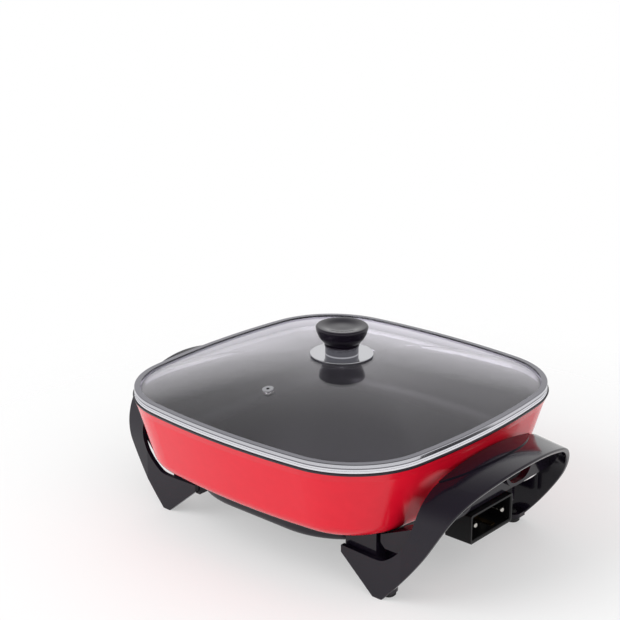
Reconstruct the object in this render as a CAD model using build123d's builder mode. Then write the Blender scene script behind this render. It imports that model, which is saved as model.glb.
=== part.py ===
from build123d import *
import math
import os

os.makedirs("parts", exist_ok=True)

# Frame: origin on the table under the lid centre, +X towards the inlet, +Z up, mm.

# Lid outline, a square with bowed sides. Every inset below is measured inwards from it.
lid_half = 160.0
side_bow = 680.0
corner_r = 80.0

# Pan casting
rim_z = 124.0
rim_proud = 1.4
flare_h = 8.0
flare_lean = 23.0
wall_lean = 16.0
wall_t = 3.9
base_z = 57.0
floor_t = 3.5
base_fillet = 16.0
floor_fillet = 14.0

# Heater rib under the base and the tube inside it
heater_below = 8.75
heater_run = 3.3
heater_turn = 12.0
heater_d = 8.0
rib_w = 15.0
rib_drop = 6.0
lug_depth = 14.0
pin_pitch = 39.4
pin_d = 5.0
pin_shank_d = 4.4
cast_gap = 0.05

# Inlet socket, its mouth outside the lid outline and its back beside the pan's base
inlet_out = 8.0
inlet_stand = 0.4
bead_room = 2.5
inlet_h = 26.5
inlet_wall = 2.6
inlet_back_t = 3.2
pin_back = 2.0
pin_root = 10.0
bead_d = 9.0
bead_rim = 1.2
bead_rim_t = 2.0
sleeve_d = 7.0
sleeve_bore = 5.6
sleeve_rim = 1.2
sleeve_depth = 21.0
screw_depth = 9.0
earth_w = 5.8
earth_t = 0.8

# Handle moulding, every place in X measured from the lid outline. Drops are below the rim.
arch_in = 57.0
arch_t = 4.4
arch_taper = 8.0
near_drop = 64.0
near_shoulder = 43.0
near_turn = 78.0
far_drop = 74.0
far_shoulder = 55.0
far_turn = 70.0
arch_back_in = 76.0
loft_in = 10.0
loft_out = 50.0
web_in = 1.0
web_t = 3.6
web_gap = 0.9
web_sink = 0.6
tip_out = 48.0
tip_drop = 10.0
hole_under = 5.1
hole_y = 43.5
hole_w = 37.0
hole_h = 29.0
hole_lip = 3.0
grip_round = 1.2
pad_rise = 1.2
pad_half = 66.0
pad_w = 21.0
toe_in = 38.5
heel_in = 29.0
wing_in = 73.0
wing_z = 29.5
wing_top = 36.0
arm_in = 40.0
arm_z = 35.0
arm_rise = 17.6
boss_in = 52.0
boss_edge = 15.0
boss_d = 11.0
boss_h = 10.0
boss_gap = 0.3
boss_clear = 5.2
seat_t = 5.0
block_edge = 6.0
block_depth = 17.0
block_in = 73.0
block_w = 33.0
block_z = 25.0
shield_w = 15.0
shield_t = 4.0
strip_in = 8.0
strip_h = 8.5
brace_in = 35.5
brace_turn = 18.0
brace_drop = 12.5
brace_foot = 1.6
brace_grip = 9.6
brace_under = 1.0
brace_cut = 4.5
pan_gap = 1.5
rib_gap = 1.5
foot_in = 30.5
foot_edge = 11.5
foot_d = 13.0
foot_h = 5.0
foot_stem_d = 6.0
foot_round = 1.2
pad_t = 4.0
pad_rim = 1.5
# Points along the arm as shares of the way from heel to tip, and from the web to the arm's foot.
heel_curve = ((0.227, 0.175), (0.427, 0.351), (0.593, 0.526), (0.72, 0.702), (0.827, 0.842))
arm_curve = ((0.064, 0.311), (0.295, 0.689), (0.667, 0.956))

# Fasteners
m4_d = 4.0
m4_head_d = 7.6
m4_head_h = 2.8
m3_d = 3.0
m3_head_d = 5.6
m3_head_h = 2.2
hole_gap = 0.25
head_gap = 0.7

# Lid
band_h = 8.0
band_t = 1.2
lip_inset = 6.0
lip_drop = 3.8
glass_t = 4.0
glass_gap = 0.2
dome_in = 3.0
dome_wall = 3.5
dome_rise = 27.5
dome_steps = (1.0, 0.94, 0.82, 0.64, 0.42, 0.19)
band_cover = 5.5
band_round = 0.9
groove_d = 0.5
groove_h = 3.2

# Knob and vent
plate_r = 28.4
plate_t = 1.2
neck_r = 15.2
neck_h = 7.5
gasket_r = 19.0
gasket_t = 0.8
knob_r = 23.8
knob_foot_r = 15.8
knob_foot_h = 1.0
knob_waist_r = 14.6
knob_h = 18.5
knob_round = 1.8
knob_dish = 2.0
vent_x = -6.0
vent_in = 69.0
vent_flange_r = 5.0
vent_tube_r = 2.6
vent_bore_r = 1.5
vent_hole_r = 3.4
vent_gap = 0.1
# Points up the knob's side as shares of its flare and height.
bowl_curve = ((0.4, 0.287), (0.717, 0.532), (0.891, 0.777))
insert_r = 4.5
insert_h = 12.0
washer_r = 9.0
washer_t = 1.2


def bowed_square(half, bow, corner):
    """Return a square face with bowed sides and round corners."""
    reach = bow - half
    c = (math.sqrt(2 * (bow - corner) ** 2 - reach**2) - reach) / 2
    tx = bow * c / (bow - corner)
    ty = bow * (c + reach) / (bow - corner) - reach
    k = c + corner * math.sqrt(0.5)
    with BuildSketch() as face:
        with BuildLine():
            for co, si in ((1, 0), (0, -1), (-1, 0), (0, 1)):
                a, b, d, e, f = [
                    (x * co - y * si, x * si + y * co)
                    for x, y in ((-tx, ty), (0, half), (tx, ty), (k, k), (ty, tx))
                ]
                ThreePointArc(a, b, d)
                ThreePointArc(d, e, f)
        make_face()
    return face.sketch


def outline(inset):
    """Return the lid outline moved inwards by inset."""
    return bowed_square(lid_half - inset, side_bow - inset, corner_r - inset)


def arch(half, leg, shoulder, turn, t):
    """Return the handle arch, local x along Y and local y along Z, moved inwards by t."""
    h, r, a = half - t, shoulder - t, math.radians(turn)
    mid = (h - r + r * math.cos(a / 2), leg + r * math.sin(a / 2))
    end = (h - r + r * math.cos(a), leg + r * math.sin(a))
    top = end[1] + end[0] * (1 - math.sin(a)) / math.cos(a)
    with BuildSketch() as face:
        with BuildLine():
            Polyline((-h, leg), (-h, -2), (h, -2), (h, leg))
            ThreePointArc((h, leg), mid, end)
            ThreePointArc(end, (0, top), (-end[0], end[1]))
            ThreePointArc((-end[0], end[1]), (-mid[0], mid[1]), (-h, leg))
        make_face()
    return face.sketch


def arch_near(t):
    """Return the arch beside the pan, moved inwards by t."""
    return arch(arch_half, near_leg, near_shoulder, near_turn, t)


def arch_far(t):
    """Return the arch at the outer end of the grip, moved inwards by t."""
    return arch(arch_half - arch_taper, far_leg, far_shoulder, far_turn, t)


def dome_section(half, step):
    """Return one level of the dome, its corner the lid's at the edge and rounder towards the middle."""
    h = half * step
    edge = (corner_r - lid_half + half) / half
    return bowed_square(h, h * side_bow / lid_half, h * (0.92 + (edge - 0.92) * step))


flare_in = flare_h * math.tan(math.radians(flare_lean))
flare_z = rim_z - flare_h
lean = math.tan(math.radians(wall_lean))
base_inset = flare_in - rim_proud + (flare_z - base_z) * lean
floor_z = base_z + floor_t
heater_z = base_z - heater_below
rib_z = heater_z - rib_drop - rib_w / 2
seat_z = base_z - boss_h - seat_t
inlet_w = pin_pitch + bead_d + 2 * (bead_rim + bead_room + inlet_wall)
inlet_front_x = lid_half + inlet_out
inlet_back_x = lid_half - base_inset + inlet_stand
# Each socket screw sits midway between the probe sleeve and a ceramic bead.
inlet_screw_y = (pin_pitch / 2 - bead_d / 2 - bead_rim + sleeve_d / 2 + sleeve_rim) / 2
pin_tip_x = inlet_front_x - pin_back
arch_half = lid_half - arch_in
near_leg, far_leg, tip_z = rim_z - near_drop, rim_z - far_drop, rim_z - tip_drop
# The web ends just above the socket, and the finger holes, arm and brace start from its edge.
web_z = heater_z + inlet_h / 2 + web_gap
hole_z = web_z + hole_under + hole_h / 2
arm_top = web_z + arm_rise
brace_z, brace_low = base_z - brace_drop, base_z - brace_under
arch_x0, arch_x1, arch_x2 = lid_half - arch_back_in, lid_half - loft_in, lid_half + loft_out
web_x, tip_x = lid_half - web_in, lid_half + tip_out
toe_x, heel_x, wing_x, arm_x = lid_half - toe_in, lid_half - heel_in, lid_half - wing_in, lid_half - arm_in
boss_x, boss_y = lid_half - boss_in, arch_half - boss_edge
# The heater loop turns round one centre per corner and keeps its rib clear of the screw bosses.
turn_centre = pin_pitch / 2 + heater_turn + heater_run
boss_reach = math.hypot(boss_x - turn_centre, boss_y - turn_centre)
heater_corner = boss_reach - boss_d / 2 - boss_clear - rib_w / 2
heater_half = turn_centre + heater_corner
block_x, block_y = lid_half - block_in, arch_half - block_edge
brace_x = lid_half - brace_in
foot_x, foot_y = lid_half - foot_in, arch_half - foot_edge
dome_half = lid_half - dome_in
dome_under_half = dome_half - dome_wall
plate_in = arch_half - arch_t + web_sink
dome_z = rim_z + band_t + glass_gap + glass_t
dome_levels = [dome_rise * (1 - step**2) for step in dome_steps]
glass_top = dome_z + dome_levels[-1]
plate_z = glass_top + gasket_t
knob_z = plate_z + plate_t + neck_h
# The vent stands square to the dome, and its seal is as long as the glass is thick there.
vent_y = vent_in - lid_half
vent_z = dome_z + dome_rise * (1 - (vent_y / dome_half) ** 2)
vent_slope = 2 * dome_rise * -vent_y / dome_half**2
vent_depth = glass_t + dome_rise * vent_y**2 * (1 / dome_under_half**2 - 1 / dome_half**2)
vent_skin = vent_depth / math.hypot(1, vent_slope) + vent_gap
vent_plane = Plane((vent_x, vent_y, vent_z), x_dir=(1, 0, 0), z_dir=(0, -vent_slope, 1))

with BuildLine() as heater_line:
    r1, r2, hh = heater_turn, heater_corner, heater_half
    first = Line((inlet_back_x, pin_pitch / 2), (hh + r1, pin_pitch / 2))
    turn_a = JernArc(first @ 1, first % 1, r1, -90)
    run_a = Line(turn_a @ 1, (hh, hh - r2))
    corner_a = JernArc(run_a @ 1, run_a % 1, r2, 90)
    run_b = Line(corner_a @ 1, (r2 - hh, hh))
    corner_b = JernArc(run_b @ 1, run_b % 1, r2, 90)
    run_c = Line(corner_b @ 1, (-hh, r2 - hh))
    corner_c = JernArc(run_c @ 1, run_c % 1, r2, 90)
    run_d = Line(corner_c @ 1, (hh - r2, -hh))
    corner_d = JernArc(run_d @ 1, run_d % 1, r2, 90)
    run_e = Line(corner_d @ 1, (hh, -pin_pitch / 2 - r1))
    turn_b = JernArc(run_e @ 1, run_e % 1, r1, -90)
    Line(turn_b @ 1, (inlet_back_x, -pin_pitch / 2))
heater_path = heater_line.wire().moved(Location((0, 0, heater_z)))
heater_end = Plane(heater_path @ 0, x_dir=(0, 1, 0), z_dir=heater_path % 0)

boss_spots = [(sx * boss_x, sy * boss_y) for sx in (1, -1) for sy in (1, -1)]
inlet_back = Plane.YZ.offset(inlet_back_x)
pin_spots = [(pin_pitch / 2, heater_z), (-pin_pitch / 2, heater_z)]

with BuildPart() as cavity:
    with BuildSketch(Plane.XY.offset(floor_z)):
        add(outline(flare_in - rim_proud + wall_t + (flare_z - floor_z) * lean))
    extrude(amount=flare_z - floor_z, taper=-wall_lean)
    fillet(cavity.faces().sort_by(Axis.Z)[0].edges(), floor_fillet)
    with BuildSketch(Plane.XY.offset(flare_z)):
        add(outline(flare_in - rim_proud + wall_t))
    extrude(amount=flare_h, taper=-flare_lean)

with BuildPart() as pan:
    with BuildSketch(Plane.XY.offset(base_z)):
        add(outline(base_inset))
    extrude(amount=flare_z - base_z, taper=-wall_lean)
    fillet(pan.faces().sort_by(Axis.Z)[0].edges(), base_fillet)
    with BuildSketch(Plane.XY.offset(flare_z)):
        add(outline(flare_in - rim_proud))
    extrude(amount=flare_h, taper=-flare_lean)
    with BuildSketch(heater_end):
        with Locations((0, rib_drop)):
            Circle(rib_w / 2)
            Rectangle(rib_w, base_z + floor_t / 2 - heater_z + rib_drop, align=(Align.CENTER, Align.MAX))
    sweep(path=heater_path)
    with BuildSketch(inlet_back):
        with Locations((0, heater_z)):
            Rectangle(pin_pitch + rib_w, rib_w)
        with Locations((0, heater_z + rib_w / 2)):
            Rectangle(pin_pitch + rib_w, base_z - heater_z, align=(Align.CENTER, Align.MIN))
    extrude(amount=-lug_depth)
    with BuildSketch(Plane.XY.offset(base_z - boss_h)):
        with Locations(*boss_spots):
            Circle(boss_d / 2)
    extrude(amount=boss_h + floor_t / 2)
    add(cavity.part, mode=Mode.SUBTRACT)
    with BuildSketch(heater_end):
        Circle(heater_d / 2 + cast_gap)
    sweep(path=heater_path, mode=Mode.SUBTRACT)
    with BuildSketch(inlet_back):
        with Locations((0, heater_z)):
            Circle(sleeve_d / 2 + cast_gap)
    extrude(amount=-sleeve_depth - 1, mode=Mode.SUBTRACT)
    with BuildSketch(inlet_back):
        with Locations((inlet_screw_y, heater_z), (-inlet_screw_y, heater_z)):
            Circle(m3_d / 2 + cast_gap)
    extrude(amount=-screw_depth - 1, mode=Mode.SUBTRACT)
    with BuildSketch(Plane.XY.offset(base_z - boss_h)):
        with Locations(*boss_spots):
            Circle(m4_d / 2 + cast_gap)
    extrude(amount=boss_h - 1, mode=Mode.SUBTRACT)
pan.part.label = "pan"
export_step(pan.part, "parts/pan.step")

with BuildPart() as heating_element:
    with BuildSketch(heater_end):
        Circle(heater_d / 2)
    sweep(path=heater_path)
    with BuildSketch(inlet_back):
        with Locations(*pin_spots):
            Circle(pin_shank_d / 2 + cast_gap)
    extrude(amount=-pin_root - 1, mode=Mode.SUBTRACT)
heating_element.part.label = "heating_element"
export_step(heating_element.part, "parts/heating_element.step")

bead_front = inlet_back.offset(inlet_back_t + bead_rim_t)
with BuildPart() as terminal_pins:
    with BuildSketch(inlet_back.offset(-pin_root)):
        with Locations(*pin_spots):
            Circle(pin_shank_d / 2)
    extrude(amount=pin_root + inlet_back_t + bead_rim_t + 1)
    with BuildSketch(bead_front):
        with Locations(*pin_spots):
            Circle(pin_d / 2)
    extrude(amount=pin_tip_x - inlet_back_x - inlet_back_t - bead_rim_t)
    fillet(terminal_pins.faces().sort_by(Axis.X)[-2:].edges(), pin_d * 0.4)
terminal_pins.part.label = "terminal_pins"
export_step(terminal_pins.part, "parts/terminal_pins.step")

with BuildPart() as terminal_insulators:
    with BuildSketch(inlet_back):
        with Locations(*pin_spots):
            Circle(bead_d / 2)
            Circle(pin_shank_d / 2 + cast_gap, mode=Mode.SUBTRACT)
    extrude(amount=inlet_back_t + bead_rim_t)
    with BuildSketch(inlet_back.offset(inlet_back_t)):
        with Locations(*pin_spots):
            Circle(bead_d / 2 + bead_rim)
            Circle(pin_shank_d / 2 + cast_gap, mode=Mode.SUBTRACT)
    extrude(amount=bead_rim_t)
    chamfer(terminal_insulators.faces().sort_by(Axis.X)[-2:].edges().group_by(SortBy.LENGTH)[-1], 0.6)
terminal_insulators.part.label = "terminal_insulators"
export_step(terminal_insulators.part, "parts/terminal_insulators.step")

with BuildPart() as probe_sleeve:
    with BuildSketch(inlet_back.offset(-sleeve_depth)):
        with Locations((0, heater_z)):
            Circle(sleeve_d / 2)
    extrude(amount=sleeve_depth + inlet_back_t + 3)
    with BuildSketch(inlet_back.offset(inlet_back_t)):
        with Locations((0, heater_z)):
            Circle(sleeve_d / 2 + sleeve_rim)
    extrude(amount=1)
    with BuildSketch(inlet_back.offset(2 - sleeve_depth)):
        with Locations((0, heater_z)):
            Circle(sleeve_bore / 2)
    extrude(amount=2 * sleeve_depth, mode=Mode.SUBTRACT)
probe_sleeve.part.label = "probe_sleeve"
export_step(probe_sleeve.part, "parts/probe_sleeve.step")

inlet_back_in = inlet_back.offset(inlet_back_t)
with BuildPart() as inlet_housing:
    with BuildSketch(inlet_back):
        with Locations((0, heater_z)):
            RectangleRounded(inlet_w, inlet_h, 1.5)
    extrude(amount=inlet_front_x - inlet_back_x)
    with BuildSketch(inlet_back_in):
        with Locations((0, heater_z)):
            RectangleRounded(inlet_w - 2 * inlet_wall, inlet_h - 2 * inlet_wall, 1.0)
    extrude(amount=inlet_front_x, mode=Mode.SUBTRACT)
    with BuildSketch(inlet_back):
        with Locations(*pin_spots):
            Circle(bead_d / 2 + cast_gap)
        with Locations((0, heater_z)):
            Circle(sleeve_d / 2 + cast_gap)
        with Locations((inlet_screw_y, heater_z), (-inlet_screw_y, heater_z)):
            Circle(m3_d / 2 + hole_gap)
    extrude(amount=inlet_back_t, mode=Mode.SUBTRACT)
    chamfer(inlet_housing.faces().sort_by(Axis.X)[-1].inner_wires()[0].edges(), 0.9)
inlet_housing.part.label = "inlet_housing"
export_step(inlet_housing.part, "parts/inlet_housing.step")

with BuildPart() as inlet_screws:
    with BuildSketch(inlet_back_in.offset(-inlet_back_t - screw_depth)):
        with Locations((inlet_screw_y, heater_z), (-inlet_screw_y, heater_z)):
            Circle(m3_d / 2)
    extrude(amount=inlet_back_t + screw_depth + earth_t + 0.4)
    with BuildSketch(inlet_back_in):
        with Locations((-inlet_screw_y, heater_z)):
            Circle(m3_head_d / 2)
    extrude(amount=m3_head_h)
    with BuildSketch(inlet_back_in.offset(earth_t)):
        with Locations((inlet_screw_y, heater_z)):
            Circle(m3_head_d / 2)
    extrude(amount=m3_head_h)
    with BuildSketch(inlet_back_in.offset(earth_t + 0.6)):
        with Locations((inlet_screw_y, heater_z), (-inlet_screw_y, heater_z)):
            Rectangle(m3_head_d * 0.7, 0.8)
            Rectangle(0.8, m3_head_d * 0.7)
    extrude(amount=m3_head_h * 2, mode=Mode.SUBTRACT)
inlet_screws.part.label = "inlet_screws"
export_step(inlet_screws.part, "parts/inlet_screws.step")

earth_floor_z = heater_z - inlet_h / 2 + inlet_wall
with BuildPart() as earth_strip:
    with BuildSketch(inlet_back_in):
        with Locations((inlet_screw_y, earth_floor_z)):
            Rectangle(earth_w, heater_z - earth_floor_z + earth_w / 2, align=(Align.CENTER, Align.MIN))
        with Locations((inlet_screw_y, heater_z)):
            Circle(m3_d / 2 + hole_gap, mode=Mode.SUBTRACT)
    extrude(amount=earth_t)
    with BuildSketch(inlet_back_in):
        with Locations((inlet_screw_y, earth_floor_z)):
            Rectangle(earth_w, earth_t, align=(Align.CENTER, Align.MIN))
    extrude(amount=inlet_front_x - inlet_back_x - inlet_back_t - 5)
earth_strip.part.label = "earth_strip"
export_step(earth_strip.part, "parts/earth_strip.step")

with BuildPart() as grip_pad:
    with BuildSketch(Plane.YZ.offset(arch_x1)):
        add(arch_near(-pad_rise))
    with BuildSketch(Plane.YZ.offset(arch_x2)):
        add(arch_far(-pad_rise))
    loft(ruled=True)
    with BuildSketch(Plane.XY.offset(base_z)):
        with BuildLine():
            Line((web_x, -pad_half), (web_x, pad_half))
            ThreePointArc((web_x, pad_half), (web_x + pad_w, 0), (web_x, -pad_half))
        make_face()
    extrude(amount=2 * base_z, mode=Mode.INTERSECT)

with BuildPart() as pan_room:
    with BuildSketch(Plane.XY.offset(base_z)):
        add(outline(base_inset - pan_gap))
    extrude(amount=flare_z - base_z, taper=-wall_lean)
    fillet(pan_room.faces().sort_by(Axis.Z)[0].edges(), base_fillet)

with BuildPart() as handle_inlet_side:
    with BuildSketch(Plane.YZ.offset(arch_x0)):
        add(arch_near(0))
    extrude(amount=arch_x1 - arch_x0)
    with BuildSketch(Plane.YZ.offset(arch_x1)):
        add(arch_near(0))
    with BuildSketch(Plane.YZ.offset(arch_x2)):
        add(arch_far(0))
    loft(ruled=True)
    add(grip_pad.part)
    with BuildSketch(Plane.XZ.offset(-2 * arch_half)):
        with BuildLine():
            Polyline((arm_x, arm_z), (wing_x, wing_top), (wing_x, wing_z), (toe_x, 0), (heel_x, 0))
            outer = [(heel_x + u * (tip_x - heel_x), v * tip_z) for u, v in ((0, 0), *heel_curve, (1, 1))]
            Spline(*outer)
            Polyline((tip_x, tip_z), (tip_x, rim_z), (web_x, rim_z), (web_x, arm_top))
            inner = [
                (web_x - u * (web_x - arm_x), arm_top - v * (arm_top - arm_z))
                for u, v in ((0, 0), *arm_curve, (1, 1))
            ]
            Spline(*inner, tangents=((0, -1), (-1, 0)))
        make_face()
    extrude(amount=4 * arch_half, mode=Mode.INTERSECT)
    with BuildSketch(Plane.YZ.offset(arch_x0)):
        add(arch_near(arch_t))
    extrude(amount=arch_x1 - arch_x0, mode=Mode.SUBTRACT)
    with BuildSketch(Plane.YZ.offset(arch_x1)):
        add(arch_near(arch_t))
    with BuildSketch(Plane.YZ.offset(arch_x2)):
        add(arch_far(arch_t))
    loft(ruled=True, mode=Mode.SUBTRACT)
    under_lip = [f for f in handle_inlet_side.faces() if f.normal_at().X > 0.5 and f.normal_at().Z < -0.2]
    lip_edges = [e for f in under_lip if f.center().X > heel_x for e in f.edges()]
    fillet([e for e in lip_edges if e.length > foot_stem_d], grip_round)
    with BuildSketch(Plane.YZ.offset(web_x)):
        add(arch_near(arch_t - web_sink))
        with Locations((0, web_z)):
            Rectangle(3 * arch_half, 2 * web_z, align=(Align.CENTER, Align.MAX), mode=Mode.SUBTRACT)
        with Locations((hole_y, hole_z), (-hole_y, hole_z)):
            SlotOverall(hole_w, hole_h, mode=Mode.SUBTRACT)
    extrude(amount=web_t)
    with BuildSketch(Plane.YZ.offset(web_x)):
        with Locations((hole_y, hole_z), (-hole_y, hole_z)):
            SlotOverall(hole_w + 2 * hole_lip, hole_h + 2 * hole_lip)
            SlotOverall(hole_w, hole_h, mode=Mode.SUBTRACT)
    extrude(amount=web_t + hole_lip)
    for side in (1, -1):
        with BuildSketch(Plane.XZ.offset(-side * block_y)):
            with Locations((block_x, block_z)):
                Rectangle(block_w, base_z - block_z, align=(Align.MIN, Align.MIN))
            with BuildLine():
                Polyline(
                    (brace_x, brace_low), (brace_x, brace_z + brace_cut), (brace_x + brace_cut, brace_z),
                    (lid_half - brace_turn, brace_z), (web_x + web_sink, web_z + brace_foot),
                    (web_x + web_sink, web_z + brace_grip), close=True,
                )
            make_face()
        extrude(amount=side * block_depth)
        with BuildSketch(Plane.XZ.offset(-side * (block_y - block_depth))):
            with Locations((block_x + block_w - 1, block_z)):
                Rectangle(shield_w + 1, brace_z + 1 - block_z, align=(Align.MIN, Align.MIN))
        extrude(amount=-side * shield_t)
        with BuildSketch(Plane.XZ.offset(-side * plate_in)):
            with Locations((block_x + strip_in, block_z)):
                Rectangle(block_w - strip_in - 1, strip_h, align=(Align.MIN, Align.MIN))
        extrude(amount=side * (plate_in + 1 - block_y))
        with BuildSketch(Plane.XY.offset(foot_h)):
            with Locations((foot_x, side * foot_y)):
                Circle(foot_d / 2 + pad_rim)
            with Locations((foot_x, side * (foot_y + plate_in) / 2)):
                Rectangle(foot_d + 2 * pad_rim, plate_in - foot_y)
        extrude(amount=pad_t)
        with BuildSketch(Plane.XY.offset(rib_z - rib_gap)):
            with Locations((turn_centre, side * turn_centre)):
                Circle(heater_corner + rib_w / 2 + rib_gap)
        extrude(amount=base_z, mode=Mode.SUBTRACT)
        add(pan_room.part, mode=Mode.SUBTRACT)
        with BuildSketch(Plane.XY.offset(base_z - boss_h)):
            with Locations((boss_x, side * boss_y)):
                Circle(boss_d / 2 + boss_gap)
        extrude(amount=boss_h, mode=Mode.SUBTRACT)
        with BuildSketch(Plane.XY.offset(seat_z)):
            with Locations((boss_x, side * boss_y)):
                Circle(m4_d / 2 + hole_gap)
        extrude(amount=boss_h, mode=Mode.SUBTRACT)
        with BuildSketch(Plane.XY):
            with Locations((boss_x, side * boss_y)):
                Circle(m4_head_d / 2 + head_gap)
        extrude(amount=seat_z, mode=Mode.SUBTRACT)
        with BuildSketch(Plane.XY):
            with Locations((foot_x, side * foot_y)):
                Circle(foot_stem_d / 2 + cast_gap)
        extrude(amount=foot_h + pad_t, mode=Mode.SUBTRACT)
handle_inlet_side.part.label = "handle_inlet_side"
export_step(handle_inlet_side.part, "parts/handle_inlet_side.step")

with BuildPart() as handle_plain_side:
    add(handle_inlet_side.part, rotation=(0, 0, 180))
handle_plain_side.part.label = "handle_plain_side"
export_step(handle_plain_side.part, "parts/handle_plain_side.step")

for name, turn in (("inlet", 0), ("plain", 180)):
    with BuildPart() as handle_screws:
        with Locations(Location((0, 0, 0), (0, 0, turn))):
            with Locations((boss_x, boss_y, seat_z), (boss_x, -boss_y, seat_z)):
                Cylinder(m4_d / 2, seat_t + boss_h - 2, align=(Align.CENTER, Align.CENTER, Align.MIN))
                Cylinder(m4_head_d / 2, m4_head_h, align=(Align.CENTER, Align.CENTER, Align.MAX))
                with Locations((0, 0, -m4_head_h)):
                    Box(m4_head_d * 0.7, 1, m4_head_h, mode=Mode.SUBTRACT)
                    Box(1, m4_head_d * 0.7, m4_head_h, mode=Mode.SUBTRACT)
    handle_screws.part.label = f"handle_screws_{name}_side"
    export_step(handle_screws.part, f"parts/handle_screws_{name}_side.step")

foot_spots = (("front_right", 1, -1), ("rear_right", 1, 1), ("front_left", -1, -1), ("rear_left", -1, 1))
for name, sx, sy in foot_spots:
    with BuildPart() as foot:
        with BuildSketch(Plane.XZ):
            r = foot_d / 2
            with BuildLine():
                Polyline(
                    (0, 0), (r - foot_round, 0), (r, foot_round), (r, foot_h), (foot_stem_d / 2, foot_h),
                    (foot_stem_d / 2, foot_h + pad_t + 0.1), (foot_stem_d / 2 + 0.6, foot_h + pad_t + 0.1),
                    (foot_stem_d / 2 - 0.8, foot_h + pad_t + 2), (0, foot_h + pad_t + 2), close=True,
                )
            make_face()
        revolve(axis=Axis.Z)
    foot_part = foot.part.moved(Location((sx * foot_x, sy * foot_y, 0)))
    foot_part.label = f"foot_{name}"
    export_step(foot_part, f"parts/foot_{name}.step")

with BuildPart() as lid_glass:
    for step, level in zip(dome_steps, dome_levels):
        with BuildSketch(Plane.XY.offset(dome_z + level)):
            add(dome_section(dome_half, step))
    loft()
    with BuildSketch(Plane.XY.offset(dome_z - glass_t)):
        add(outline(band_t + 2 * glass_gap))
    extrude(amount=glass_t)
    for step, level in zip(dome_steps, dome_levels):
        with BuildSketch(Plane.XY.offset(dome_z - glass_t + level)):
            add(dome_section(dome_under_half, step))
    loft(mode=Mode.SUBTRACT)
    with BuildSketch(Plane.XY.offset(glass_top - 2 * glass_t)):
        Circle(m4_d / 2 + 2 * hole_gap)
    extrude(amount=3 * glass_t, mode=Mode.SUBTRACT)
    with BuildSketch(vent_plane.offset(-3 * glass_t)):
        Circle(vent_hole_r)
    extrude(amount=5 * glass_t, mode=Mode.SUBTRACT)
lid_glass.part.label = "lid_glass"
export_step(lid_glass.part, "parts/lid_glass.step")

with BuildPart() as lid_band:
    with BuildSketch(Plane.XY.offset(rim_z)):
        add(outline(0))
    extrude(amount=band_h)
    fillet(lid_band.faces().filter_by(Axis.Z).edges(), band_round)
    with BuildSketch(Plane.XY.offset(rim_z + band_t)):
        add(outline(band_t))
    extrude(amount=band_h - 2 * band_t, mode=Mode.SUBTRACT)
    with BuildSketch(Plane.XY.offset(rim_z + band_h - 2 * band_t)):
        add(outline(band_cover))
    extrude(amount=band_h, mode=Mode.SUBTRACT)
    with BuildSketch(Plane.XY.offset(rim_z - lip_drop)):
        add(outline(lip_inset))
    extrude(amount=lip_drop + band_t)
    with BuildSketch(Plane.XY.offset(rim_z - lip_drop)):
        add(outline(lip_inset + band_t))
    extrude(amount=2 * lip_drop, mode=Mode.SUBTRACT)
    with BuildSketch(Plane.XY.offset(rim_z + band_h / 2 - groove_h / 2)):
        add(outline(-groove_d))
        add(outline(groove_d), mode=Mode.SUBTRACT)
    extrude(amount=groove_h, mode=Mode.SUBTRACT)
lid_band.part.label = "lid_band"
export_step(lid_band.part, "parts/lid_band.step")

with BuildPart() as knob:
    with BuildSketch(Plane.XZ):
        with BuildLine():
            bore = insert_r + cast_gap
            top_z = knob_z + knob_h
            Polyline((0, top_z - knob_dish), (0, knob_z + insert_h), (bore, knob_z + insert_h), (bore, knob_z))
            Polyline((bore, knob_z), (knob_foot_r, knob_z), (knob_foot_r, knob_z + knob_foot_h))
            Line((knob_foot_r, knob_z + knob_foot_h), (knob_waist_r, knob_z + 1.4 * knob_foot_h))
            bowl = [
                (knob_waist_r + u * (knob_r - knob_waist_r), knob_z + v * (knob_h - knob_round))
                for u, v in bowl_curve
            ]
            Spline((knob_waist_r, knob_z + 1.4 * knob_foot_h), *bowl, (knob_r, top_z - knob_round))
            ThreePointArc(
                (knob_r, top_z - knob_round), (knob_r - 0.3 * knob_round, top_z - 0.3 * knob_round),
                (knob_r - knob_round, top_z),
            )
            Spline(
                (knob_r - knob_round, top_z), (knob_r / 2, top_z - 0.8 * knob_dish), (0, top_z - knob_dish),
                tangents=((-1, 0), (-1, 0)),
            )
        make_face()
    revolve(axis=Axis.Z)
knob.part.label = "knob"
export_step(knob.part, "parts/knob.step")

with BuildPart() as knob_insert:
    with Locations((0, 0, knob_z)):
        Cylinder(insert_r, insert_h - 0.3, align=(Align.CENTER, Align.CENTER, Align.MIN))
        Cylinder(m4_d / 2 + cast_gap, 3 * insert_h, mode=Mode.SUBTRACT)
knob_insert.part.label = "knob_insert"
export_step(knob_insert.part, "parts/knob_insert.step")

with BuildPart() as knob_plate:
    with BuildSketch(Plane.XY.offset(plate_z)):
        Circle(plate_r)
    extrude(amount=plate_t)
    fillet(knob_plate.edges(), plate_t * 0.45)
    with BuildSketch(Plane.XY.offset(plate_z + plate_t / 2)):
        Circle(neck_r)
    extrude(amount=knob_z - plate_z - plate_t / 2)
    with BuildSketch(Plane.XY.offset(plate_z)):
        Circle(neck_r - plate_t)
    extrude(amount=neck_h, mode=Mode.SUBTRACT)
    with BuildSketch(Plane.XY.offset(plate_z)):
        Circle(m4_d / 2 + hole_gap)
    extrude(amount=2 * neck_h, mode=Mode.SUBTRACT)
knob_plate.part.label = "knob_plate"
export_step(knob_plate.part, "parts/knob_plate.step")

with BuildPart() as knob_gasket:
    with BuildSketch(Plane.XY.offset(glass_top)):
        Circle(gasket_r)
        Circle(m4_d / 2 + hole_gap, mode=Mode.SUBTRACT)
    extrude(amount=gasket_t)
knob_gasket.part.label = "knob_gasket"
export_step(knob_gasket.part, "parts/knob_gasket.step")

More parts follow.
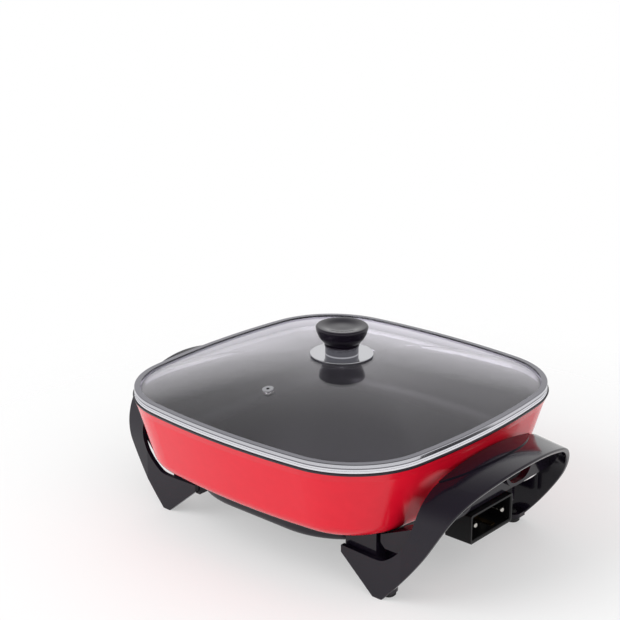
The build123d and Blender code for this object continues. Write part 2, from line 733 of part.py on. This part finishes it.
washer_z = glass_top - glass_t - washer_t
with BuildPart() as knob_washer:
    with BuildSketch(Plane.XY.offset(washer_z)):
        Circle(washer_r)
        Circle(m4_d / 2 + hole_gap, mode=Mode.SUBTRACT)
    extrude(amount=washer_t)
knob_washer.part.label = "knob_washer"
export_step(knob_washer.part, "parts/knob_washer.step")

with BuildPart() as knob_screw:
    with Locations((0, 0, washer_z)):
        Cylinder(m4_d / 2, knob_z + insert_h - 2 - washer_z, align=(Align.CENTER, Align.CENTER, Align.MIN))
        Cylinder(m4_head_d / 2, m4_head_h, align=(Align.CENTER, Align.CENTER, Align.MAX))
        with Locations((0, 0, -m4_head_h)):
            Box(m4_head_d * 0.7, 1, m4_head_h, mode=Mode.SUBTRACT)
            Box(1, m4_head_d * 0.7, m4_head_h, mode=Mode.SUBTRACT)
knob_screw.part.label = "knob_screw"
export_step(knob_screw.part, "parts/knob_screw.step")

with BuildPart() as vent_grommet:
    with BuildSketch(vent_plane.offset(-vent_skin - 0.8)):
        Circle(vent_flange_r - 0.4)
        Circle(vent_tube_r + cast_gap, mode=Mode.SUBTRACT)
    extrude(amount=0.8)
    with BuildSketch(vent_plane.offset(-vent_skin - 0.8)):
        Circle(vent_hole_r - cast_gap)
        Circle(vent_tube_r + cast_gap, mode=Mode.SUBTRACT)
    extrude(amount=vent_skin + 0.8)
vent_grommet.part.label = "vent_grommet"
export_step(vent_grommet.part, "parts/vent_grommet.step")

with BuildPart() as vent_eyelet:
    with BuildSketch(vent_plane.offset(-vent_skin - 1.6)):
        Circle(vent_tube_r)
    extrude(amount=vent_skin + 2.5)
    with BuildSketch(vent_plane.offset(0.1)):
        Circle(vent_flange_r)
    extrude(amount=0.8)
    with BuildSketch(vent_plane.offset(-vent_skin - 1.6)):
        Circle(vent_flange_r - 0.8)
    extrude(amount=0.8)
    fillet(vent_eyelet.edges().group_by(SortBy.LENGTH)[-1], 0.35)
    with BuildSketch(vent_plane.offset(-3 * glass_t)):
        Circle(vent_bore_r)
    extrude(amount=5 * glass_t, mode=Mode.SUBTRACT)
vent_eyelet.part.label = "vent_eyelet"
export_step(vent_eyelet.part, "parts/vent_eyelet.step")
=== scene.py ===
"""Looks of a square electric cooking pot with a loose domed glass lid.

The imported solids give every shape. This script dresses them with procedural finishes and sets the
floor, the light and the camera.
"""

import logging
import math
from dataclasses import dataclass, field
from enum import Enum
from typing import Any

import bpy
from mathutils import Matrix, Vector

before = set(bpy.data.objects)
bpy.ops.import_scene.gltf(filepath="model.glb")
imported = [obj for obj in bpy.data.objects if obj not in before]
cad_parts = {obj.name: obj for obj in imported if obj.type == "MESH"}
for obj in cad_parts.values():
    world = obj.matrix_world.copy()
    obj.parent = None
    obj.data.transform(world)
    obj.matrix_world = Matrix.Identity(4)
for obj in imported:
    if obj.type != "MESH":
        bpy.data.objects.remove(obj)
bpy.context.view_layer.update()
MM = 0.001
EVEN = (1.0, 1.0, 1.0)
WHITE = (1.0, 1.0, 1.0, 1.0)
GRAIN_DETAIL = 3.0
LOG = logging.getLogger("cooking_pot")


class Side(Enum):
    """The two ends of the pot that carry a handle."""

    INLET = "inlet"
    PLAIN = "plain"


def linear(hex_colour: str) -> tuple[float, float, float, float]:
    """Turn an sRGB hex colour into linear RGBA.

    Args:
        hex_colour: six hex digits after a hash sign.

    Returns:
        Linear red, green, blue and an alpha of one.
    """
    values = [int(hex_colour[i : i + 2], 16) / 255 for i in (1, 3, 5)]
    r, g, b = [v / 12.92 if v <= 0.04045 else ((v + 0.055) / 1.055) ** 2.4 for v in values]
    return (r, g, b, 1.0)


def add_node(
    tree: bpy.types.NodeTree,
    kind: str,
    settings: dict[str, Any] | None = None,
    inputs: dict[Any, Any] | None = None,
) -> bpy.types.Node:
    """Add a node with its settings, socket values and incoming links.

    Args:
        tree: the node tree that gets the node.
        kind: Blender's type name of the node.
        settings: attributes to set on the node.
        inputs: socket name or index to a plain value, or to an output socket to link from.

    Returns:
        The new node.
    """
    node = tree.nodes.new(kind)
    for key, value in (settings or {}).items():
        setattr(node, key, value)
    for key, value in (inputs or {}).items():
        socket = node.inputs[key]
        if isinstance(value, bpy.types.NodeSocket):
            tree.links.new(value, socket)
        else:
            socket.default_value = value
    return node


def blank_material(name: str) -> bpy.types.Material:
    """Return a new material whose node tree is empty."""
    material = bpy.data.materials.new(name)
    material.use_nodes = True
    material.node_tree.nodes.clear()
    return material


def grain(
    tree: bpy.types.NodeTree, size_mm: float, stretch: tuple[float, float, float] = EVEN
) -> bpy.types.NodeSocket:
    """Add noise in the part's own metres.

    Args:
        tree: the material's node tree.
        size_mm: size of one grain in millimetres.
        stretch: how often the grain repeats along X, Y and Z against that size.

    Returns:
        The noise value socket.
    """
    coords = add_node(tree, "ShaderNodeTexCoord")
    spread = add_node(
        tree, "ShaderNodeMapping", None, {"Vector": coords.outputs["Object"], "Scale": stretch}
    )
    noise = add_node(
        tree,
        "ShaderNodeTexNoise",
        None,
        {"Vector": spread.outputs["Vector"], "Scale": 1.0 / (size_mm * MM), "Detail": GRAIN_DETAIL},
    )
    return noise.outputs["Fac"]


def ranged(
    tree: bpy.types.NodeTree, value: bpy.types.NodeSocket, low: float, high: float
) -> bpy.types.NodeSocket:
    """Map a zero-to-one socket onto a range and return the result."""
    node = add_node(tree, "ShaderNodeMapRange", None, {"Value": value, "To Min": low, "To Max": high})
    return node.outputs["Result"]


@dataclass(frozen=True)
class Finish:
    """One even finish with a fine grain in its roughness and relief."""

    name: str
    colour: str
    roughness: float
    metallic: float = 0.0
    ior: float | None = None
    grain_mm: float = 1.0
    stretch: tuple[float, float, float] = EVEN
    roughness_spread: float = 0.04
    relief_mm: float = 0.0
    shade: float = 0.12

    def material(self) -> bpy.types.Material:
        """Build the material.

        Returns:
            The material, with its grain driving colour, roughness and relief.
        """
        made = blank_material(self.name)
        tree = made.node_tree
        noise = grain(tree, self.grain_mm, self.stretch)
        smoothest = self.roughness - self.roughness_spread
        base = linear(self.colour)
        dark = tuple(c * (1 - self.shade) for c in base[:3]) + (1.0,)
        tint = add_node(
            tree, "ShaderNodeMix", {"data_type": "RGBA"}, {"Factor": noise, 6: dark, 7: base}
        )
        surface = add_node(
            tree,
            "ShaderNodeBsdfPrincipled",
            None,
            {
                "Base Color": tint.outputs[2],
                "Metallic": self.metallic,
                "Roughness": ranged(tree, noise, smoothest, smoothest + 2 * self.roughness_spread),
            },
        )
        if self.ior is not None:
            surface.inputs["IOR"].default_value = self.ior
        if self.relief_mm > 0:
            bump = add_node(
                tree,
                "ShaderNodeBump",
                None,
                {"Strength": 1.0, "Distance": self.relief_mm * MM, "Height": noise},
            )
            tree.links.new(bump.outputs["Normal"], surface.inputs["Normal"])
        add_node(tree, "ShaderNodeOutputMaterial", None, {"Surface": surface.outputs["BSDF"]})
        return made


# Gloss phenolic, compression moulded: near black, a wet-looking skin with faint flow marks.
PHENOLIC = Finish(
    "gloss_phenolic_moulded", "#19141F", 0.13, ior=1.4, grain_mm=9.0, relief_mm=0.01, shade=0.2
)
# Socket phenolic: the same resin with a matt tool surface.
SOCKET_PHENOLIC = Finish("matt_phenolic_moulded", "#09090B", 0.45, ior=1.35, grain_mm=0.8, relief_mm=0.02)
# Stainless sheet of the vent, rolled and polished: bright, with fine level lines.
STAINLESS = Finish(
    "stainless_rolled_polished",
    "#BDBDC1",
    0.14,
    metallic=1.0,
    grain_mm=2.0,
    stretch=(0.15, 0.15, 6.0),
    shade=0.1,
)
# Zinc plated screw steel: dull silver with a slight mottle.
ZINC_STEEL = Finish("zinc_plated_steel", "#A9ABAF", 0.34, metallic=1.0, grain_mm=0.6)
# Heater tube steel, annealed: darker, warm grey.
SHEATH_STEEL = Finish("annealed_sheath_steel", "#7D7873", 0.42, metallic=1.0, grain_mm=1.5)
# Nickel plated pins: bright mirror with little grain.
NICKEL = Finish("nickel_plated_brass", "#BDBAB4", 0.22, metallic=1.0, grain_mm=0.5, shade=0.05)
# Brass, brown yellow and satin, darkened with painted shade so that the earth strip reads as the shade
# inside the socket.
BRASS = Finish("shade_darkened_brass", "#4A3B24", 0.5, metallic=1.0, grain_mm=0.6)
# Steatite ceramic: off white and matt with a fine speckle.
STEATITE = Finish("pressed_steatite", "#E2DDD0", 0.6, grain_mm=0.3)
# Moulded rubber: black, matt, fine grain.
RUBBER = Finish("moulded_rubber", "#1B1B1C", 0.75, grain_mm=0.5, relief_mm=0.03)
# Silicone seal: milky and soft looking.
SILICONE = Finish("moulded_silicone", "#B9B9B4", 0.5, ior=1.41, grain_mm=0.8)


@dataclass(frozen=True)
class SteppedSteel:
    """Polished stainless steel with painted light: bands of painted reflection and painted shade that
    change with height. Levels are in mm above the table.
    """

    name: str
    painted_shades: tuple[str, ...]
    levels: tuple[float, ...]
    roughness: float = 0.16
    blur: float = 0.3
    foot_top: float = 0.0
    foot_lean: float = 0.0

    def material(self) -> bpy.types.Material:
        """Build the material.

        Returns:
            The material, with its painted reflection and shade bands from the bottom up and a foot that
            leans outwards.
        """
        made = blank_material(self.name)
        tree = made.node_tree
        coords = add_node(tree, "ShaderNodeTexCoord")
        height = add_node(tree, "ShaderNodeSeparateXYZ", None, {0: coords.outputs["Object"]}).outputs["Z"]
        shade = linear(self.painted_shades[0])
        # Each level switches to the next tone; most of these tones are painted reflection or painted shade,
        # not the steel's own colour.
        for level, above in zip(self.levels, self.painted_shades[1:]):
            over = add_node(
                tree,
                "ShaderNodeMapRange",
                {"interpolation_type": "SMOOTHSTEP"},
                {
                    "Value": height,
                    "From Min": (level - self.blur) * MM,
                    "From Max": (level + self.blur) * MM,
                },
            )
            step = add_node(
                tree,
                "ShaderNodeMix",
                {"data_type": "RGBA"},
                {"Factor": over.outputs["Result"], 6: shade, 7: linear(above)},
            )
            shade = step.outputs[2]
        drop = add_node(
            tree, "ShaderNodeMath", {"operation": "SUBTRACT"}, {0: self.foot_top * MM, 1: height}
        )
        bulge = add_node(tree, "ShaderNodeMath", {"operation": "MAXIMUM"}, {0: drop.outputs[0], 1: 0.0})
        bump = add_node(
            tree,
            "ShaderNodeBump",
            None,
            {"Strength": 1.0, "Distance": self.foot_lean, "Height": bulge.outputs[0]},
        )
        surface = add_node(
            tree,
            "ShaderNodeBsdfPrincipled",
            None,
            {
                "Base Color": shade,
                "Metallic": 1.0,
                "Roughness": self.roughness,
                "Normal": bump.outputs["Normal"],
            },
        )
        add_node(tree, "ShaderNodeOutputMaterial", None, {"Surface": surface.outputs["BSDF"]})
        return made


# Band, roll formed, painted by height: a painted bright reflection on the foot bead, a painted dark
# reflection along the seam, the steel's own satin tone on the upper half and a painted dark reflection on
# the lip over the glass.
BAND_STEEL = SteppedSteel(
    "stainless_rolled_band",
    ("#DEDEE3", "#6E6E74", "#C2C2C7", "#78777E"),
    (127.7, 128.7, 131.6),
    foot_top=128.2,
    foot_lean=0.4,
)
# Knob plate, deep drawn: a bright flat disc, and a neck darkened with painted shade from the knob above it.
PLATE_STEEL = SteppedSteel("stainless_drawn_plate", ("#C2C2C6", "#6C6C72"), (158.6,), roughness=0.12)


@dataclass(frozen=True)
class EnamelledCasting:
    """Cast aluminium: gloss red enamel outside, dark speckled non-stick inside, on the rim and below; the
    coated band just under the rim top also paints the shadow under the lid band.
    """

    name: str = "enamelled_cast_aluminium"
    red: str = "#E8142E"
    red_deep: str = "#DE112A"
    coating: str = "#17141C"
    speckle: str = "#201C26"
    red_roughness: float = 0.2
    coating_roughness: float = 0.38
    orange_peel_mm: float = 9.0
    peel_relief_mm: float = 0.01
    peel_strength: float = 0.2
    speckle_mm: float = 0.7
    speckle_range: tuple[float, float] = (-0.6, 1.2)
    upward: float = 0.5
    ior: float = 1.42
    base_line: float = 58.5
    rim_line: float = 122.4

    def material(self) -> bpy.types.Material:
        """Build the material.

        Returns:
            The material, coated where it faces inwards or up, round the rim and under the base.
        """
        made = blank_material(self.name)
        tree = made.node_tree
        shape = add_node(tree, "ShaderNodeNewGeometry")
        coords = add_node(tree, "ShaderNodeTexCoord")
        flat = add_node(
            tree,
            "ShaderNodeVectorMath",
            {"operation": "MULTIPLY"},
            {0: shape.outputs["True Normal"], 1: (1.0, 1.0, 0.0)},
        )
        outward = add_node(
            tree,
            "ShaderNodeVectorMath",
            {"operation": "DOT_PRODUCT"},
            {0: flat.outputs[0], 1: coords.outputs["Object"]},
        )
        facing_in = add_node(
            tree, "ShaderNodeMath", {"operation": "LESS_THAN"}, {0: outward.outputs["Value"], 1: 0.0}
        )
        normal = add_node(tree, "ShaderNodeSeparateXYZ", None, {0: shape.outputs["True Normal"]})
        facing_up = add_node(
            tree, "ShaderNodeMath", {"operation": "GREATER_THAN"}, {0: normal.outputs["Z"], 1: self.upward}
        )
        place = add_node(tree, "ShaderNodeSeparateXYZ", None, {0: coords.outputs["Object"]})
        below = add_node(
            tree,
            "ShaderNodeMath",
            {"operation": "LESS_THAN"},
            {0: place.outputs["Z"], 1: self.base_line * MM},
        )
        # Coated above rim_line: the non-stick lip over the rim, carried down the outer wall far enough to
        # also paint the shadow under the lid band.
        above = add_node(
            tree,
            "ShaderNodeMath",
            {"operation": "GREATER_THAN"},
            {0: place.outputs["Z"], 1: self.rim_line * MM},
        )
        coated = facing_in
        for mask in (facing_up, below, above):
            coated = add_node(
                tree, "ShaderNodeMath", {"operation": "MAXIMUM"}, {0: coated.outputs[0], 1: mask.outputs[0]}
            )
        peel = grain(tree, self.orange_peel_mm)
        flecks = grain(tree, self.speckle_mm)
        enamel = add_node(
            tree,
            "ShaderNodeMix",
            {"data_type": "RGBA"},
            {"Factor": peel, 6: linear(self.red_deep), 7: linear(self.red)},
        )
        fleck_mask = ranged(tree, flecks, *self.speckle_range)
        coat = add_node(
            tree,
            "ShaderNodeMix",
            {"data_type": "RGBA"},
            {"Factor": fleck_mask, 6: linear(self.coating), 7: linear(self.speckle)},
        )
        colour = add_node(
            tree,
            "ShaderNodeMix",
            {"data_type": "RGBA"},
            {"Factor": coated.outputs[0], 6: enamel.outputs[2], 7: coat.outputs[2]},
        )
        gloss = ranged(tree, coated.outputs[0], self.red_roughness, self.coating_roughness)
        bump = add_node(
            tree,
            "ShaderNodeBump",
            None,
            {"Strength": self.peel_strength, "Distance": self.peel_relief_mm * MM, "Height": peel},
        )
        surface = add_node(
            tree,
            "ShaderNodeBsdfPrincipled",
            None,
            {
                "Base Color": colour.outputs[2],
                "Roughness": gloss,
                "IOR": self.ior,
                "Normal": bump.outputs["Normal"],
            },
        )
        add_node(tree, "ShaderNodeOutputMaterial", None, {"Surface": surface.outputs["BSDF"]})
        return made


@dataclass(frozen=True)
class TemperedGlass:
    """Bent soda-lime glass: clear and slowly wavy, with a faint film that whitens it at flat angles."""

    name: str = "tempered_soda_lime_glass"
    tint: str = "#F5F2F9"
    ior: float = 1.52
    wave_mm: float = 60.0
    relief_mm: float = 0.05
    wave_strength: float = 0.2
    film: float = 1.0
    film_roughness: float = 0.27
    film_tint: str = "#F3EEFF"

    def material(self) -> bpy.types.Material:
        """Build the material.

        Returns:
            A clear glass with a faint wave in its relief and a faint film.
        """
        made = blank_material(self.name)
        tree = made.node_tree
        wave = grain(tree, self.wave_mm)
        bump = add_node(
            tree,
            "ShaderNodeBump",
            None,
            {"Strength": self.wave_strength, "Distance": self.relief_mm * MM, "Height": wave},
        )
        surface = add_node(
            tree,
            "ShaderNodeBsdfPrincipled",
            None,
            {
                "Base Color": linear(self.tint),
                "Roughness": 0.0,
                "IOR": self.ior,
                "Transmission Weight": 1.0,
                "Sheen Weight": self.film,
                "Sheen Roughness": self.film_roughness,
                "Sheen Tint": linear(self.film_tint),
                "Normal": bump.outputs["Normal"],
            },
        )
        add_node(tree, "ShaderNodeOutputMaterial", None, {"Surface": surface.outputs["BSDF"]})
        return made


def dress(node: str, material: bpy.types.Material, sharp_deg: float = 35.0) -> None:
    """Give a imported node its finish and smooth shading.

    Args:
        node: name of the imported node.
        material: the finish.
        sharp_deg: edges that turn more than this stay sharp.
    """
    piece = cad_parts[node]
    piece.data.materials.clear()
    piece.data.materials.append(material)
    piece.data.polygons.foreach_set("use_smooth", [True] * len(piece.data.polygons))
    piece.data.set_sharp_from_angle(angle=math.radians(sharp_deg))
    LOG.info("dressed %s with %s", node, material.name)


@dataclass
class Pan:
    """The casting with its heater."""

    casting: EnamelledCasting = field(default_factory=EnamelledCasting)

    def build(self) -> None:
        """Dress the casting and the heater tube."""
        dress("pan", self.casting.material(), 30.0)
        dress("heating_element", SHEATH_STEEL.material())


@dataclass
class Inlet:
    """The power socket and its contacts."""

    def build(self) -> None:
        """Dress the socket parts."""
        dress("inlet_housing", SOCKET_PHENOLIC.material())
        dress("terminal_pins", NICKEL.material())
        dress("terminal_insulators", STEATITE.material())
        dress("probe_sleeve", SHEATH_STEEL.material())
        dress("inlet_screws", ZINC_STEEL.material())
        dress("earth_strip", BRASS.material())


@dataclass
class Handles:
    """The two handle mouldings with their screws and feet."""

    corners: tuple[str, ...] = ("front_right", "rear_right", "front_left", "rear_left")

    def build(self) -> None:
        """Dress the mouldings, screws and feet."""
        moulding, steel, rubber = PHENOLIC.material(), ZINC_STEEL.material(), RUBBER.material()
        for side in Side:
            dress(f"handle_{side.value}_side", moulding)
            dress(f"handle_screws_{side.value}_side", steel)
        for corner in self.corners:
            dress(f"foot_{corner}", rubber)


@dataclass
class Lid:
    """The loose lid: glass, band, knob and vent."""

    glass: TemperedGlass = field(default_factory=TemperedGlass)

    def build(self) -> None:
        """Dress the lid's pieces."""
        steel, seal = STAINLESS.material(), SILICONE.material()
        dress("lid_glass", self.glass.material(), 25.0)
        dress("lid_band", BAND_STEEL.material())
        dress("knob", PHENOLIC.material())
        dress("knob_plate", PLATE_STEEL.material())
        dress("vent_eyelet", steel)
        dress("knob_insert", BRASS.material())
        dress("knob_washer", ZINC_STEEL.material())
        dress("knob_screw", ZINC_STEEL.material())
        dress("knob_gasket", seal)
        dress("vent_grommet", seal)


@dataclass
class Studio:
    """Floor, light and camera, in metres."""

    camera_at: tuple[float, float, float] = (0.8081, -0.9614, 0.6193)
    camera_aim: tuple[float, float, float] = (-0.6264, 0.7117, -0.3181)
    lens_mm: float = 86.54
    sensor_mm: float = 36.0
    floor_half: float = 1.6
    floor_colour: str = "#F6F6F6"
    floor_fade: tuple[float, float] = (0.24, 0.6)
    floor_glow: float = 0.4
    sky_light: float = 0.8
    ceiling: float = 0.3
    ceiling_deg: tuple[float, float] = (22.0, 62.0)
    lamp_aim: tuple[float, float, float] = (0.0, 0.0, 0.1)
    lamps: tuple[tuple[str, tuple[float, float, float], float, float], ...] = (
        ("key_softbox", (-0.9, -1.7, 1.5), 1.7, 26.0),
        ("side_softbox", (1.9, -0.5, 1.3), 1.5, 6.0),
    )

    def build(self) -> None:
        """Make the floor, the sky, the lamps and the camera."""
        self.floor()
        self.sky()
        for name, place, size, power in self.lamps:
            self.lamp(name, Vector(place), size, power)
        self.camera()

    def floor(self) -> None:
        """Make the pale floor."""
        mesh = bpy.data.meshes.new("floor")
        h = self.floor_half
        mesh.from_pydata([(-h, -h, 0), (h, -h, 0), (h, h, 0), (-h, h, 0)], [], [(0, 1, 2, 3)])
        floor = bpy.data.objects.new("floor", mesh)
        bpy.context.scene.collection.objects.link(floor)
        mesh.materials.append(self.paper())

    def paper(self) -> bpy.types.Material:
        """Make the floor's paper.

        Returns:
            White matt paper that fades out far from the pot, so that it has no edge.
        """
        # White matt paper: even, with a faint tooth that takes the pot's shadow.
        made = Finish("white_matt_paper", self.floor_colour, 0.9, grain_mm=2.0, shade=0.01).material()
        tree = made.node_tree
        matt = next(n for n in tree.nodes if n.type == "BSDF_PRINCIPLED")
        output = next(n for n in tree.nodes if n.type == "OUTPUT_MATERIAL")
        coords = add_node(tree, "ShaderNodeTexCoord")
        reach = add_node(
            tree, "ShaderNodeVectorMath", {"operation": "LENGTH"}, {0: coords.outputs["Object"]}
        )
        fade = add_node(
            tree,
            "ShaderNodeMapRange",
            {"interpolation_type": "SMOOTHSTEP"},
            {
                "Value": reach.outputs["Value"],
                "From Min": self.floor_fade[0],
                "From Max": self.floor_fade[1],
            },
        )
        shown = add_node(
            tree, "ShaderNodeMath", {"operation": "MULTIPLY"}, {0: self.seen(tree), 1: self.floor_glow}
        )
        glow = add_node(tree, "ShaderNodeEmission", None, {"Color": WHITE, "Strength": 1.0})
        lit = add_node(
            tree,
            "ShaderNodeMixShader",
            None,
            {0: shown.outputs[0], 1: matt.outputs["BSDF"], 2: glow.outputs["Emission"]},
        )
        clear = add_node(tree, "ShaderNodeBsdfTransparent")
        blend = add_node(
            tree,
            "ShaderNodeMixShader",
            None,
            {0: fade.outputs["Result"], 1: lit.outputs["Shader"], 2: clear.outputs["BSDF"]},
        )
        tree.links.new(blend.outputs["Shader"], output.inputs["Surface"])
        return made

    def seen(self, tree: bpy.types.NodeTree) -> bpy.types.NodeSocket:
        """Tell rays that show the background from rays that only carry light.

        Args:
            tree: the node tree that gets the nodes.

        Returns:
            A socket that is one for camera, glossy and transmission rays.
        """
        path = add_node(tree, "ShaderNodeLightPath")
        shown = path.outputs["Is Camera Ray"]
        for ray in ("Is Glossy Ray", "Is Transmission Ray"):
            shown = add_node(
                tree, "ShaderNodeMath", {"operation": "MAXIMUM"}, {0: shown, 1: path.outputs[ray]}
            ).outputs[0]
        return shown

    def sky(self) -> None:
        """Light the scene evenly. Camera, reflections and glass see white that dims overhead."""
        world = bpy.data.worlds.new("studio_white")
        bpy.context.scene.world = world
        world.use_nodes = True
        tree = world.node_tree
        tree.nodes.clear()
        coords = add_node(tree, "ShaderNodeTexCoord")
        aim = add_node(tree, "ShaderNodeSeparateXYZ", None, {0: coords.outputs["Generated"]})
        low, high = (math.sin(math.radians(angle)) for angle in self.ceiling_deg)
        dome = add_node(
            tree,
            "ShaderNodeMapRange",
            {"interpolation_type": "SMOOTHSTEP"},
            {
                "Value": aim.outputs["Z"],
                "From Min": low,
                "From Max": high,
                "To Min": 1.0,
                "To Max": self.ceiling,
            },
        )
        strength = add_node(
            tree,
            "ShaderNodeMix",
            {"data_type": "FLOAT"},
            {0: self.seen(tree), 2: self.sky_light, 3: dome.outputs["Result"]},
        )
        white = add_node(
            tree,
            "ShaderNodeBackground",
            None,
            {"Color": WHITE, "Strength": strength.outputs[0]},
        )
        add_node(tree, "ShaderNodeOutputWorld", None, {"Surface": white.outputs["Background"]})

    def lamp(self, name: str, place: Vector, size: float, power: float) -> None:
        """Hang one square softbox that faces the pot and leaves no hard patch in its reflections.

        Args:
            name: the lamp's name.
            place: where it hangs, in metres.
            size: its side in metres.
            power: its power in watts.
        """
        data = bpy.data.lights.new(name, "AREA")
        data.shape, data.size, data.energy = "SQUARE", size, power
        lamp = bpy.data.objects.new(name, data)
        lamp.location = place
        lamp.visible_glossy = False
        lamp.rotation_mode = "QUATERNION"
        lamp.rotation_quaternion = (Vector(self.lamp_aim) - place).to_track_quat("-Z", "Y")
        bpy.context.scene.collection.objects.link(lamp)

    def camera(self) -> None:
        """Place the camera at the photograph's viewing angle."""
        data = bpy.data.cameras.new("camera")
        data.lens, data.sensor_width = self.lens_mm, self.sensor_mm
        camera = bpy.data.objects.new("camera", data)
        camera.location = self.camera_at
        camera.rotation_mode = "QUATERNION"
        camera.rotation_quaternion = Vector(self.camera_aim).to_track_quat("-Z", "Y")
        bpy.context.scene.collection.objects.link(camera)
        bpy.context.scene.camera = camera


def main() -> None:
    """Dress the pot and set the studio."""
    logging.basicConfig(level=logging.INFO, format="%(name)s: %(message)s")
    bpy.context.scene.view_settings.view_transform = "Standard"
    for part in (Pan(), Inlet(), Handles(), Lid(), Studio()):
        part.build()
        LOG.info("built %s", type(part).__name__)


if __name__ == "__main__":
    main()
